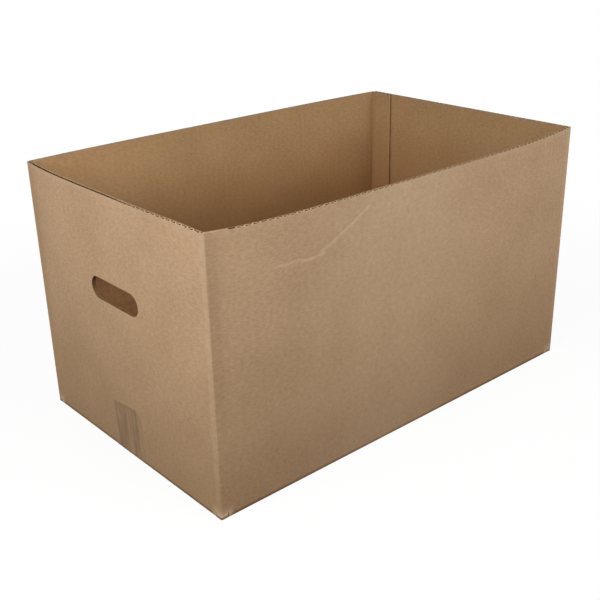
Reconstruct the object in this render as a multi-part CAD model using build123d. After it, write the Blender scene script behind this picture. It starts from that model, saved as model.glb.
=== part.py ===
from build123d import *
import os
from dataclasses import dataclass
from math import atan2, degrees, hypot

# Kraft shipping box: one sheet of corrugated board folded into an open-topped half-slotted carton.
# The origin is at the middle of the bottom, X runs along the long walls, the front wall faces -Y
# and Z is up. All lengths are in millimetres.

# Outside of the box, measured over the bottom folds
box_length = 640.0
box_width = 389.0
box_height = 353.0

# Corrugated board
board_thickness = 5.0
liner_thickness = 0.4
medium_thickness = 0.3
flute_pitch = 9.25
flute_run_share = 0.3
open_flute_depth = 12.0

# Folds, and how far each wall's rim stands out at its middle, the front one more towards its start
fold_inner_radius = 1.0
fold_outer_radius = 1.8
front_bow = 21.0
back_bow = 5.5
left_bow = 7.2
front_skew_share = 0.25
bow_power = 4
bow_station_shares = (0.0, 0.05, 0.14, 0.28, 0.5, 0.72, 0.86, 0.95, 1.0)
middle_share = 0.5

# Crease pressed into the front wall in two stretches, each station as shares of the run and of the rise
crease_width = 5.0
crease_depth = 0.4
lower_crease_shares = (
    (0.128, 0.836),
    (0.15, 0.835),
    (0.166, 0.841),
    (0.184, 0.831),
    (0.206, 0.832),
    (0.229, 0.835),
)
upper_crease_shares = (
    (0.22, 0.845),
    (0.237, 0.855),
    (0.274, 0.894),
    (0.294, 0.91),
    (0.312, 0.932),
    (0.336, 0.954),
)

# Hand holes in the two end walls, set a little towards the front
hand_hole_length = 104.0
hand_hole_height = 29.5
hand_hole_drop = 126.5
hand_hole_shift = 7.0

# Glued joint at the back right corner
tab_width = 44.5
glue_thickness = 0.2
glue_margin = 6.0
joint_gap = 2.0

# Bottom flaps and the slots between them: the end flaps slope up over the relieved ends of the long flaps
seam_gap = 1.5
flap_gap = 0.3
score_land = 1.0
corner_land = 10.0
slot_gap = 1.0
end_relief = 5.0
corner_foot = 1.0

# Sealing tape along the bottom seam, torn off at a slant and at one corner
tape_width = 66.0
tape_thickness = 0.12
tape_seat_gap = 0.05
tape_leg = 70.0
tape_tear_rise = 6.0
tape_corner_tear = 11.0

# How far cutters run past what they cut
overrun = 5.0

half_length = box_length / 2
half_width = box_width / 2
fold_radius = fold_inner_radius + board_thickness
long_flap_underside = tape_thickness
end_fold_underside = long_flap_underside + tape_seat_gap
end_flap_underside = long_flap_underside + board_thickness + flap_gap
wall_foot = end_fold_underside + fold_radius + score_land
wall_rise = box_height - wall_foot
tab_face = half_length - board_thickness - glue_thickness
tab_end = half_width - tab_width
free_end = half_width - joint_gap
flap_inset = corner_land + slot_gap
slope_inset = flap_inset + end_relief
flap_reach = half_width - seam_gap / 2
quarter_turn = 90.0

# The sheet's outer and inner faces: depth, fold radius, and the straight lead on each side of the fold
outer_face = (0, fold_outer_radius, fold_radius - fold_outer_radius)
inner_face = (board_thickness, fold_inner_radius, 0)


@dataclass(frozen=True)
class Wall:
    """One wall's flat run between its folds, and how far its rim bows out.

    The run goes round the box anticlockwise, so outward is to the right of its direction.
    """

    start: Vector
    end: Vector
    bow: float
    skew_share: float = 0

    @property
    def length(self):
        return (self.end - self.start).length

    @property
    def direction(self):
        return (self.end - self.start).normalized()

    @property
    def outward(self):
        return Vector(self.direction.Y, -self.direction.X)

    def bow_at(self, share):
        """How far the rim stands out at a share of the run: a full middle that falls off to the folds."""
        fullness = 1 + self.skew_share * (middle_share - share)
        return self.bow * fullness * (1 - abs(share / middle_share - 1) ** bow_power)

    def point(self, share, depth, rise_share):
        """A plan point of the wall, at a depth in from its outer face and a share of its rise."""
        out = self.bow_at(share) * rise_share
        return self.start + self.direction * (share * self.length) + self.outward * (out - depth)

    def edge(self, depth, rise_share):
        """The wall's trace at a depth in from its outer face and a share of its rise."""
        if rise_share and self.bow:
            return Spline([self.point(share, depth, rise_share) for share in bow_station_shares])
        return Line(self.point(0, depth, rise_share), self.point(1, depth, rise_share))


back_wall = Wall(
    Vector(tab_face - fold_radius, half_width),
    Vector(-half_length + fold_radius, half_width),
    back_bow,
)
left_wall = Wall(
    Vector(-half_length, half_width - fold_radius),
    Vector(-half_length, -half_width + fold_radius),
    left_bow,
)
front_wall = Wall(
    Vector(-half_length + fold_radius, -half_width),
    Vector(half_length - fold_radius, -half_width),
    front_bow,
    front_skew_share,
)
right_wall = Wall(
    Vector(half_length, -half_width + fold_radius),
    Vector(half_length, free_end),
    0,
)
glue_tab = Wall(
    Vector(tab_face, tab_end),
    Vector(tab_face, half_width - fold_radius),
    0,
)
strip = (glue_tab, back_wall, left_wall, front_wall, right_wall)


def fold(start, direction, radius, lead):
    """The edges of a quarter fold on one face of the sheet, from the end of a panel to the next one."""
    turn_start = start + direction * lead
    turn = JernArc(turn_start, direction, radius, quarter_turn)
    if not lead:
        return [turn]
    turn_end = turn @ 1
    return [Line(start, turn_start), turn, Line(turn_end, turn_end + (turn % 1) * lead)]


def strip_face(rise_share):
    """The folded sheet's section, from the glue tab's edge round to the free edge of the right wall.

    It is straight at the foot, where the share of the rise is 0, and bowed at the rim, where it is 1.
    """
    edges = []
    for depth, radius, lead in (outer_face, inner_face):
        for wall in strip:
            edges.append(wall.edge(depth, rise_share))
        for wall in strip[:-1]:
            edges.extend(fold(wall.point(1, depth, 0), wall.direction, radius, lead))
    for wall, share in ((glue_tab, 0), (right_wall, 1)):
        edges.append(Line(wall.point(share, 0, 0), wall.point(share, board_thickness, 0)))
    return make_face(edges)


def tube():
    """The four walls and the glue tab, from the score lines up to the bowed rim."""
    foot = Pos(0, 0, wall_foot) * strip_face(0)
    rim = Pos(0, 0, box_height) * strip_face(1)
    return loft([foot, rim], ruled=True)


def corner_ends():
    """The four vertical folds below the score lines, left standing between the slots."""
    ring = extrude(Pos(0, 0, corner_foot) * strip_face(0), wall_foot - corner_foot)
    long_cut = Box(box_length - 2 * corner_land, box_width + overrun, box_height)
    end_cut = Box(box_length + overrun, box_width - 2 * corner_land, box_height)
    return ring - long_cut - end_cut


def flap(wall_plane, fold_underside, underside, width):
    """A bottom flap with its fold, drawn in from the wall's outer face and up from the floor.

    From the fold's underside it slopes to its own underside, which it reaches above the long flaps' ends.
    """
    edges = []
    for depth, radius, lead in (outer_face, inner_face):
        bend_start = Vector(depth, fold_underside + fold_radius)
        bend = fold(bend_start, Vector(0, -1), radius, lead)
        slope_end = Vector(slope_inset, underside + depth)
        edges.append(Line((depth, wall_foot), bend_start))
        edges.extend(bend)
        edges.append(Line(bend[-1] @ 1, slope_end))
        edges.append(Line(slope_end, (flap_reach, underside + depth)))
    edges.append(Line((0, wall_foot), (board_thickness, wall_foot)))
    edges.append(Line((flap_reach, underside), (flap_reach, underside + board_thickness)))
    return extrude(wall_plane * make_face(edges), width / 2, both=True)


def bottom_flaps():
    """The two end flaps, inside, and the two long flaps that close over them."""
    relief = Box(box_length, box_width - 2 * corner_land, box_height)
    relief -= Box(box_length - 2 * slope_inset, box_width, box_height)
    flaps = []
    for side in (1, -1):
        long_plane = Plane((0, -side * half_width), x_dir=(0, side), z_dir=(side, 0))
        end_plane = Plane((-side * half_length, 0), x_dir=(side, 0), z_dir=(0, -side))
        long_flap = flap(long_plane, long_flap_underside, long_flap_underside, box_length - 2 * flap_inset)
        flaps.append(long_flap - relief)
        flaps.append(flap(end_plane, end_fold_underside, end_flap_underside, box_width - 2 * flap_inset))
    return flaps


def hand_holes():
    """Cutters for the round-ended hand hole in each end wall."""
    height = box_height - hand_hole_drop
    outline = SlotOverall(hand_hole_length, hand_hole_height)
    side_plane = Plane((0, -hand_hole_shift, height), x_dir=(0, 1), z_dir=(1, 0))
    return extrude(side_plane * outline, half_length + left_bow + overrun, both=True)


def crease():
    """Cutters for the crease: a shallow wedge from each station to the next, along the wall's outer face."""
    outline = Polyline(
        (-crease_depth, 0),
        (crease_depth, crease_width),
        (crease_depth, -crease_width),
        close=True,
    )
    wedges = []
    for stations in (lower_crease_shares, upper_crease_shares):
        points = []
        for along, rise in stations:
            points.append(front_wall.point(along, 0, rise) + Vector(0, 0, wall_foot + rise * wall_rise))
        for start, end in zip(points, points[1:]):
            across = Plane(start, x_dir=front_wall.outward, z_dir=end - start)
            wedges.append(extrude(across * make_face(outline), (end - start).length))
    return wedges


def flute_cell(wall, share, opens_out):
    """A cutter for one open flute: a trapezoid that leaves a liner behind and the medium beside it."""
    half_pitch = flute_pitch / 2
    run = flute_run_share * half_pitch
    shallow = liner_thickness if opens_out else liner_thickness + medium_thickness
    deep = board_thickness - liner_thickness - (medium_thickness if opens_out else 0)
    wide = half_pitch - medium_thickness + run
    narrow = half_pitch - medium_thickness - run
    at_shallow, at_deep = (wide, narrow) if opens_out else (narrow, wide)
    corners = []
    for width, depth in ((at_shallow, shallow), (at_deep, deep)):
        for side in (-1, 1):
            along = share + side * width / 2 / wall.length
            corners.append(wall.point(along, depth, 1))
    ordered = (corners[0], corners[1], corners[3], corners[2])
    lean = wall.outward * (-wall.bow_at(share) / wall_rise) + Vector(0, 0, -1)
    outline = make_face(Polyline(*ordered, close=True))
    start = Vector(0, 0, box_height) - lean * overrun
    return extrude(Pos(start) * outline, (open_flute_depth + overrun) * lean.length, dir=lean)


def open_flutes():
    """Cutters for the flutes that show along the raw rim, facing out and in by turns."""
    cells = []
    for wall in strip:
        pitches = int((wall.length - flute_pitch) / flute_pitch)
        first = (wall.length - pitches * flute_pitch) / 2
        for index in range(2 * pitches + 1):
            along = first + index * flute_pitch / 2
            cells.append(flute_cell(wall, along / wall.length, index % 2 == 0))
    return cells


def carton():
    """The whole folded sheet."""
    sheet = tube() + [corner_ends(), *bottom_flaps()]
    return sheet - [hand_holes(), *crease(), *open_flutes()]


def joint_glue():
    """The film of glue between the tab and the right wall."""
    width = tab_width - fold_radius - 2 * glue_margin
    height = wall_rise - 2 * glue_margin
    middle = (
        tab_face + glue_thickness / 2,
        tab_end + glue_margin + width / 2,
        wall_foot + wall_rise / 2,
    )
    return Pos(middle) * Box(glue_thickness, width, height)


def tape_trace(side, bow):
    """The tape's path on one half of the box: under the seam, across the slot, round the fold and up.

    It is drawn in the XZ plane as edges on the face that sticks to the board.
    """
    turn_start = Vector(half_length - fold_outer_radius, long_flap_underside)
    turn = JernArc(turn_start, Vector(1, 0), fold_outer_radius + tape_seat_gap, quarter_turn)
    leg_foot = turn @ 1
    lean = bow / wall_rise
    leg_height = tape_leg + tape_tear_rise + overrun - leg_foot.Y
    leg_top = leg_foot + Vector(lean * leg_height, leg_height)
    trace = [Line((0, long_flap_underside), turn_start), turn, Line(leg_foot, leg_top)]
    return trace if side > 0 else [edge.mirror(Plane.YZ) for edge in trace]


def sealing_tape():
    """One strip of tape along the bottom seam with a leg up each end wall.

    Each leg ends at a slant, higher towards the front, with the corner there torn away.
    """
    trace = Wire(tape_trace(1, 0) + tape_trace(-1, left_bow))
    section = make_face(trace.offset_2d(tape_thickness, kind=Kind.INTERSECTION, side=Side.RIGHT))
    strip_of_tape = extrude(Plane.XZ * section, tape_width / 2, both=True)
    tear_angle = degrees(atan2(tape_tear_rise, tape_width))
    waste_length = box_length + box_width
    waste = Pos(0, 0, box_height / 2) * Box(waste_length, box_length, box_height)
    slant = Pos(0, 0, tape_leg + tape_tear_rise / 2) * Rot(-tear_angle, 0, 0)
    corner_side = hypot(tape_corner_tear, tape_corner_tear)
    corner = Box(waste_length, corner_side, corner_side)
    torn_corner = Pos(0, -tape_width / 2, tape_leg + tape_tear_rise) * Rot(quarter_turn / 2, 0, 0)
    return strip_of_tape - slant * waste - torn_corner * corner


os.makedirs("parts", exist_ok=True)
pieces = {"carton": carton(), "joint_glue": joint_glue(), "sealing_tape": sealing_tape()}
for name, piece in pieces.items():
    export_step(piece, f"parts/{name}.step")
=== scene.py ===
import logging
import math
from collections.abc import Sequence
from dataclasses import dataclass
from enum import Enum

import bpy
import numpy as np
from mathutils import Matrix, Vector
from mathutils.geometry import delaunay_2d_cdt


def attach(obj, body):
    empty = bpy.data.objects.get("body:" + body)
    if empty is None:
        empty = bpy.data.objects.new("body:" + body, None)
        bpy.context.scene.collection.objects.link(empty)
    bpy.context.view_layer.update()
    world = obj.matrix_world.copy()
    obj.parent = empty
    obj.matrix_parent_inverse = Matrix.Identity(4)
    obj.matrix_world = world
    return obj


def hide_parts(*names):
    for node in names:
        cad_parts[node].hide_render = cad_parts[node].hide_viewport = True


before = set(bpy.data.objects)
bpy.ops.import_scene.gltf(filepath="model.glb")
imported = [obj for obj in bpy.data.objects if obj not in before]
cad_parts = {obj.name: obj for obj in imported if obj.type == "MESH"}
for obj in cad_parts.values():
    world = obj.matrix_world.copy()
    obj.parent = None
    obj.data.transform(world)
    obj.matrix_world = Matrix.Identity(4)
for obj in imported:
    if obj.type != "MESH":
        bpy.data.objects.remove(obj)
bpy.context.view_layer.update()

# Kraft shipping box: one sheet of corrugated board, drawn flat and folded by one map, with the fluted
# medium in its raw edges and a strip of sealing tape. Lengths are in millimetres until a mesh is made.
# Flat coordinates: run goes along the strip from the glue tab's edge, down goes from the rim, and depth
# goes in from the outer face.

log = logging.getLogger("kraft_box")
Array = np.ndarray
Colour = tuple[float, float, float]
METRES = 0.001
WHITE = (1.0, 1.0, 1.0, 1.0)
FLUTE_PITCH = 9.25
NOISE_OCTAVES = 4
NOISE_SPREAD = (0.7, 1.3)


class BoardFace(Enum):
    """The faces of the board, in the order of its material slots."""

    OUTER = 0
    INNER = 1
    RAW_EDGE = 2
    # Painted shade: near-black faces in the flute grooves of the cut edges.
    FLUTE_HOLLOW = 3
    PRESSED_EDGE = 4
    # Painted shade: dark brown faces in the shallow grooves of the side cuts.
    SIDE_CUT = 5


class Side(Enum):
    """The two ends of the box, as the sign of X."""

    LEFT = -1
    RIGHT = 1

    @property
    def wall(self) -> str:
        """The name of that end wall."""
        return f"{self.name.lower()}_wall"


def smooth_noise(values: Array, wavelength: float, seed: int) -> Array:
    """Gives a gentle wander along a line.

    Args:
        values: Places along the line.
        wavelength: The usual distance between two crests.
        seed: Picks the wander.

    Returns:
        A number between about -1 and 1 for each place.
    """
    dice = np.random.default_rng(seed)
    total = np.zeros_like(values, dtype=float)
    for octave in range(1, NOISE_OCTAVES + 1):
        turn = 2 * math.pi * octave * values / wavelength * dice.uniform(*NOISE_SPREAD)
        total += np.sin(turn + dice.uniform(0, 2 * math.pi)) / octave
    return total / 2


def distance_to_path(points: Array, path: Array) -> Array:
    """Measures how far points lie from a broken line.

    Args:
        points: Flat points, one to a row.
        path: The broken line's corners, one to a row.

    Returns:
        The distance of each point.
    """
    best = np.full(len(points), np.inf)
    for start, end in zip(path[:-1], path[1:]):
        step = end - start
        share = np.clip((points - start) @ step / (step @ step), 0, 1)
        gap = points - start - share[:, None] * step
        best = np.minimum(best, np.hypot(gap[:, 0], gap[:, 1]))
    return best


def inside_loops(points: Array, loops: Sequence[Array]) -> Array:
    """Finds which points lie inside an outline and outside its holes.

    Args:
        points: Flat points, one to a row.
        loops: The outline and the holes, as closed loops of corners.

    Returns:
        True for each point that is inside an odd number of loops.
    """
    odd = np.zeros(len(points), bool)
    for loop in loops:
        for start, end in zip(loop, np.roll(loop, -1, axis=0)):
            if start[1] == end[1]:
                continue
            spans = (start[1] > points[:, 1]) != (end[1] > points[:, 1])
            cross = start[0] + (points[:, 1] - start[1]) * (end[0] - start[0]) / (end[1] - start[1])
            odd ^= spans & (points[:, 0] < cross)
    return odd


def divided(corners: Sequence[tuple[float, float]], step: float) -> list[tuple[float, float]]:
    """Adds points along a broken line.

    Args:
        corners: The line's corners.
        step: The largest distance between two points.

    Returns:
        The points from the first corner up to the last one, without it.
    """
    points = []
    for start, end in zip(corners[:-1], corners[1:]):
        parts = max(1, math.ceil(math.dist(start, end) / step))
        for part in range(parts):
            share = part / parts
            points.append((start[0] + share * (end[0] - start[0]), start[1] + share * (end[1] - start[1])))
    return points


def make_piece(name: str, points: Array, faces: Sequence[Sequence[int]]) -> bpy.types.Object:
    """Makes a mesh object at the origin.

    Args:
        name: The piece's name.
        points: Its corners in metres.
        faces: Its faces as lists of corner numbers.

    Returns:
        The new object.
    """
    mesh = bpy.data.meshes.new(name)
    mesh.from_pydata([tuple(point) for point in points.tolist()], [], [tuple(face) for face in faces])
    piece = bpy.data.objects.new(name, mesh)
    bpy.context.scene.collection.objects.link(piece)
    return piece


def add_flat_map(mesh: bpy.types.Mesh, flat: Array) -> None:
    """Gives a mesh a UV map of its flat coordinates in metres.

    Args:
        mesh: The mesh.
        flat: Run and down of each corner, in millimetres.
    """
    corner = np.zeros(len(mesh.loops), np.int32)
    mesh.loops.foreach_get("vertex_index", corner)
    layer = mesh.uv_layers.new(name="flat")
    layer.data.foreach_set("uv", (flat[corner] * METRES).astype(np.float32).ravel())


def add_mask(mesh: bpy.types.Mesh, name: str, values: Array) -> None:
    """Gives a mesh a named mask with one value for each corner."""
    layer = mesh.attributes.new(name, "FLOAT", "POINT")
    layer.data.foreach_set("value", values.astype(np.float32))


def shade_smooth(mesh: bpy.types.Mesh, angle: float) -> None:
    """Shades a mesh smooth, apart from the edges that turn by more than an angle in degrees."""
    mesh.polygons.foreach_set("use_smooth", [True] * len(mesh.polygons))
    mesh.set_sharp_from_angle(angle=math.radians(angle))


@dataclass(frozen=True)
class Flap:
    """A bottom flap: the heights of its fold and its underside, its reach, and the relief of its ends."""

    fold_underside: float
    underside: float
    reach: float
    relief: float


@dataclass(frozen=True)
class Panel:
    """One flat run of the sheet between two folds.

    It goes round the box anticlockwise, so outward is to the right of its heading.
    """

    name: str
    start: tuple[float, float]
    heading: tuple[float, float]
    length: float
    bow: float
    skew: float
    flat_start: float
    flap: Flap | None

    @property
    def flat_end(self) -> float:
        """Where the panel ends along the strip."""
        return self.flat_start + self.length

    @property
    def outward(self) -> tuple[float, float]:
        """The direction that the panel's outer face looks in, in plan."""
        return self.heading[1], -self.heading[0]


@dataclass(frozen=True)
class Crease:
    """A crease pressed into a panel, with stations as shares of the panel's run and of its rise.

    The lip's reach is counted in half widths.
    """

    panel: str
    stations: tuple[tuple[float, float], ...]
    half_width: float = 2.5
    depth: float = 0.4
    lip: float = 0.1
    lip_reach: float = 4.0
    fade_run: float = 14.0


@dataclass(frozen=True)
class FoldedSheet:
    """The blank's sizes, and the map that folds it into the box."""

    length: float = 640.0
    width: float = 389.0
    height: float = 353.0
    thickness: float = 5.0
    fold_radius: float = 6.0
    outer_radius: float = 1.8
    front_bow: float = 21.0
    front_skew: float = 0.25
    back_bow: float = 5.5
    left_bow: float = 7.2
    bow_power: float = 4.0
    tab_width: float = 44.5
    glue_gap: float = 0.2
    joint_gap: float = 2.0
    long_underside: float = 0.12
    end_fold_underside: float = 0.17
    end_underside: float = 5.42
    score_land: float = 1.0
    flap_inset: float = 11.0
    end_relief: float = 5.0
    corner_land: float = 10.0
    corner_foot: float = 1.0
    seam_gap: float = 1.5
    crush: float = 2.8
    crush_runs: tuple[float, float] = (30.0, 140.0)
    crush_reach: float = 45.0
    waver: float = 0.35
    waver_waves: tuple[float, float] = (260.0, 210.0)
    waver_leans: tuple[float, float] = (0.4, -0.3)
    waver_fade: float = 0.5
    turn_points: int = 6
    slack: float = 0.05
    creases: tuple[Crease, ...] = (
        Crease(
            "front_wall",
            ((0.128, 0.836), (0.15, 0.835), (0.166, 0.841), (0.184, 0.831), (0.206, 0.832), (0.229, 0.835)),
        ),
        Crease(
            "front_wall",
            ((0.22, 0.845), (0.237, 0.855), (0.274, 0.894), (0.294, 0.91), (0.312, 0.932), (0.336, 0.954)),
        ),
    )

    @property
    def foot(self) -> float:
        """The height of the score lines, where the walls end and the flaps begin."""
        return self.end_fold_underside + self.fold_radius + self.score_land

    @property
    def rise(self) -> float:
        """The walls' height from the score lines to the rim."""
        return self.height - self.foot

    @property
    def slope_run(self) -> float:
        """How far in an end flap slopes up from its fold, until it lies on the ends of the long flaps."""
        return self.flap_inset + self.end_relief - self.fold_radius

    @property
    def fold_run(self) -> float:
        """The length of a quarter fold at the middle of the board."""
        return (self.fold_radius - self.thickness / 2) * math.pi / 2

    @property
    def fold_shares(self) -> list[float]:
        """Where the grid crosses a fold: along its straight leads and closely round its outer turn.

        Returns:
            Shares of the fold's run.
        """
        lead = self.fold_radius - self.outer_radius
        lead_share = lead / (2 * lead + self.outer_radius * math.pi / 2)
        turn = np.linspace(lead_share, 1 - lead_share, self.turn_points).tolist()
        return [0.0, lead_share / 2, *turn, 1 - lead_share / 2, 1.0]

    @property
    def panels(self) -> tuple[Panel, ...]:
        """The strip's panels, in order along it.

        Returns:
            The glue tab, then the back, left, front and right walls.
        """
        half_length, half_width, radius = self.length / 2, self.width / 2, self.fold_radius
        tab_face = half_length - self.thickness - self.glue_gap
        reach = half_width - self.seam_gap / 2
        long_flap = Flap(self.long_underside, self.long_underside, reach, self.end_relief)
        end_flap = Flap(self.end_fold_underside, self.end_underside, reach, 0)
        drawn = (
            (
                "glue_tab",
                (tab_face, half_width - self.tab_width),
                (0, 1),
                self.tab_width - radius,
                0,
                0,
                None,
            ),
            (
                "back_wall",
                (tab_face - radius, half_width),
                (-1, 0),
                tab_face + half_length - 2 * radius,
                self.back_bow,
                0,
                long_flap,
            ),
            (
                "left_wall",
                (-half_length, half_width - radius),
                (0, -1),
                self.width - 2 * radius,
                self.left_bow,
                0,
                end_flap,
            ),
            (
                "front_wall",
                (-half_length + radius, -half_width),
                (1, 0),
                self.length - 2 * radius,
                self.front_bow,
                self.front_skew,
                long_flap,
            ),
            (
                "right_wall",
                (half_length, -half_width + radius),
                (0, 1),
                self.width - radius - self.joint_gap,
                0,
                0,
                end_flap,
            ),
        )
        panels = []
        flat = 0.0
        for name, start, heading, length, bow, skew, flap in drawn:
            panels.append(Panel(name, start, heading, length, bow, skew, flat, flap))
            flat += length + self.fold_run
        return tuple(panels)

    def panel(self, name: str) -> Panel:
        """The panel of that name."""
        return next(panel for panel in self.panels if panel.name == name)

    def flap_end(self, flap: Flap) -> float:
        """How far down the blank a flap's free edge lies."""
        return self.flap_row(flap, flap.reach)

    def flap_row(self, flap: Flap, reach: float) -> float:
        """How far down the blank a line across a flap lies, from its reach in from the wall's outer face."""
        straight = self.foot - flap.fold_underside - self.fold_radius
        return self.rise + straight + self.fold_run + reach - self.fold_radius

    def flap_span(self, panel: Panel) -> tuple[float, float]:
        """Where a panel's flap begins and ends along the strip.

        Args:
            panel: The wall that carries the flap.

        Returns:
            The runs of the flap's two cut sides.
        """
        inset = self.flap_inset - self.fold_radius
        first, last = panel.flat_start + inset, panel.flat_end - inset
        if panel.name == "back_wall":
            first = max(first - self.thickness - self.glue_gap, panel.flat_start)
        if panel.name == "right_wall":
            last += self.joint_gap - self.fold_radius
        return first, last

    def crease_path(self, crease: Crease) -> Array:
        """The crease's stations in flat coordinates."""
        panel = self.panel(crease.panel)
        return np.array(
            [
                (panel.flat_start + along * panel.length, (1 - rise) * self.rise)
                for along, rise in crease.stations
            ]
        )

    def dent(self, panel: Panel, run: Array, down: Array) -> Array:
        """How far a panel stands out beyond its smooth bow: a slight waver, and its creases.

        Args:
            panel: The panel.
            run: Places along the strip.
            down: Places below the rim.

        Returns:
            The outward shift of each place.
        """
        share = np.clip((run - panel.flat_start) / panel.length, 0, 1)
        level = np.clip(down / self.rise, 0, 1)
        fade = np.sin(np.pi * share) * np.sin(np.pi * level) ** self.waver_fade
        seed = sum(map(ord, panel.name))
        along, upright = self.waver_waves
        lean, tilt = self.waver_leans
        ripple = smooth_noise(run + lean * down, along, seed)
        ripple += smooth_noise(down + tilt * run, upright, seed + 1)
        shift = self.waver * fade * ripple
        flat = np.stack([run, down], -1)
        for crease in self.creases:
            if crease.panel == panel.name:
                path = self.crease_path(crease)
                gap = distance_to_path(flat, path)
                ends = np.clip(np.minimum(run - path[0, 0], path[-1, 0] - run) / crease.fade_run, 0, 1)
                shift -= crease.depth * ends * np.clip(1 - gap / crease.half_width, 0, 1)
                level_there = np.interp(run, path[:, 0], path[:, 1])
                above = np.clip((level_there - down) / crease.half_width, 0, 1)
                reach = crease.lip_reach * crease.half_width
                shift += crease.lip * ends * above * np.exp(-((gap / reach) ** 2))
        return shift

    @property
    def near_corner(self) -> float:
        """The run of the near upright fold's middle, between the left and front walls."""
        return self.panel("left_wall").flat_end + self.fold_run / 2

    def crushed(self, run: Array, down: Array) -> Array:
        """How far the board is pressed down at the near corner's rim.

        Args:
            run: Places along the strip.
            down: Places below the rim.

        Returns:
            The drop of each place.
        """
        past = run - self.near_corner
        near = np.exp(-((past / np.where(past < 0, *self.crush_runs)) ** 2))
        return self.crush * near * np.clip(1 - down / self.crush_reach, 0, 1) ** 2

    def place(self, run: Array, down: Array, depth: Array | float) -> Array:
        """Folds flat points into the box.

        Args:
            run: Places along the strip.
            down: Places below the rim.
            depth: Depths in from the outer face.

        Returns:
            Points in metres in the box's frame.
        """
        run, down, depth = (np.array(part, float) for part in np.broadcast_arrays(run, down, depth))
        plan = np.zeros((len(run), 2))
        height = self.height - down
        panels = self.panels
        for number, panel in enumerate(panels):
            first = -np.inf if number == 0 else panel.flat_start
            last = np.inf if number == len(panels) - 1 else panel.flat_end
            chosen = (run >= first) & (run <= last)
            plan[chosen], height[chosen] = self.on_panel(panel, run[chosen], down[chosen], depth[chosen])
            if number + 1 < len(panels):
                chosen = (run > panel.flat_end) & (run < panels[number + 1].flat_start)
                plan[chosen] = self.on_fold(panel, run[chosen], depth[chosen])
        height -= self.crushed(run, down)
        return np.column_stack([plan, height]) * METRES

    def on_panel(self, panel: Panel, run: Array, down: Array, depth: Array) -> tuple[Array, Array]:
        """Places points of a wall and of its bottom flap.

        Args:
            panel: The wall.
            run: Places along the strip.
            down: Places below the rim.
            depth: Depths in from the outer face.

        Returns:
            The points in plan, and their heights.
        """
        local = run - panel.flat_start
        share = np.clip(local / panel.length, 0, 1)
        height = self.height - down
        rise = np.clip((height - self.foot) / self.rise, 0, 1)
        fullness = 1 + panel.skew * (0.5 - share)
        bow = panel.bow * fullness * (1 - np.abs(2 * share - 1) ** self.bow_power) * rise
        inset = depth - bow - self.dent(panel, run, down)
        if panel.flap is not None:
            low, high = self.flap_span(panel)
            on_flap = (down > self.rise) & (run >= low - self.slack) & (run <= high + self.slack)
            under, radius = panel.flap.fold_underside, self.fold_radius
            past = down - self.rise - (self.foot - under - radius)
            ahead, turned = self.quarter_fold(np.clip(past / self.fold_run, 0, 1), depth)
            flat_run = np.clip(past - self.fold_run, 0, None)
            slope = (panel.flap.underside - under) * np.clip(flat_run / self.slope_run, 0, 1)
            bent = on_flap & (past > 0)
            inset = np.where(bent, turned + flat_run, inset)
            height = np.where(bent, under + radius - ahead + slope, height)
        heading, outward = np.array(panel.heading), np.array(panel.outward)
        plan = np.array(panel.start) + local[:, None] * heading - inset[:, None] * outward
        return plan, height

    def on_fold(self, panel: Panel, run: Array, depth: Array) -> Array:
        """Places points of the upright fold after a panel, in plan.

        Args:
            panel: The panel that the fold follows.
            run: Places along the strip.
            depth: Depths in from the outer face.

        Returns:
            The points in plan.
        """
        heading, outward = np.array(panel.heading), np.array(panel.outward)
        start = np.array(panel.start) + panel.length * heading
        ahead, turned = self.quarter_fold((run - panel.flat_end) / self.fold_run, depth)
        return start + ahead[:, None] * heading - turned[:, None] * outward

    def quarter_fold(self, share: Array, depth: Array) -> tuple[Array, Array]:
        """Follows a quarter fold at a depth in the board. The outer face turns tightly between two leads.

        Args:
            share: Shares of the fold's run.
            depth: Depths in from the outer face.

        Returns:
            How far each point lies along the old heading and along the new one.
        """
        paths = []
        for radius, sunk in ((self.outer_radius, 0.0), (self.fold_radius - self.thickness, self.thickness)):
            lead = self.fold_radius - sunk - radius
            turn = radius * math.pi / 2
            gone = share * (2 * lead + turn)
            angle = np.clip((gone - lead) / radius, 0, math.pi / 2)
            ahead = np.clip(gone, 0, lead) + radius * np.sin(angle)
            turned = sunk + radius * (1 - np.cos(angle)) + np.clip(gone - lead - turn, 0, None)
            paths.append(np.stack([ahead, turned]))
        outer, inner = paths
        return tuple(outer + depth / self.thickness * (inner - outer))


@dataclass
class HandHole:
    """A round-ended hand hole in an end wall, set a little towards the front."""

    length: float = 104.0
    height: float = 29.5
    drop: float = 126.5
    shift: float = 7.0
    points_per_end: int = 20

    def middle(self, panel: Panel) -> tuple[float, float]:
        """Where the hole's centre lies on the blank.

        Args:
            panel: The end wall.

        Returns:
            Its run and its distance below the rim.
        """
        along = -self.shift - panel.start[1]
        return panel.flat_start + along * panel.heading[1], self.drop

    def outline(self, panel: Panel) -> list[tuple[float, float]]:
        """The hole's outline on the blank.

        Args:
            panel: The end wall.

        Returns:
            A loop of points.
        """
        run, down = self.middle(panel)
        radius = self.height / 2
        half = self.length / 2 - radius
        points = []
        for side in (1, -1):
            for number in range(self.points_per_end + 1):
                angle = math.pi * (number / self.points_per_end - 0.5)
                across, up = math.cos(angle) * radius, math.sin(angle) * radius
                points.append((run + side * (half + across), down + side * up))
        return points


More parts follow.
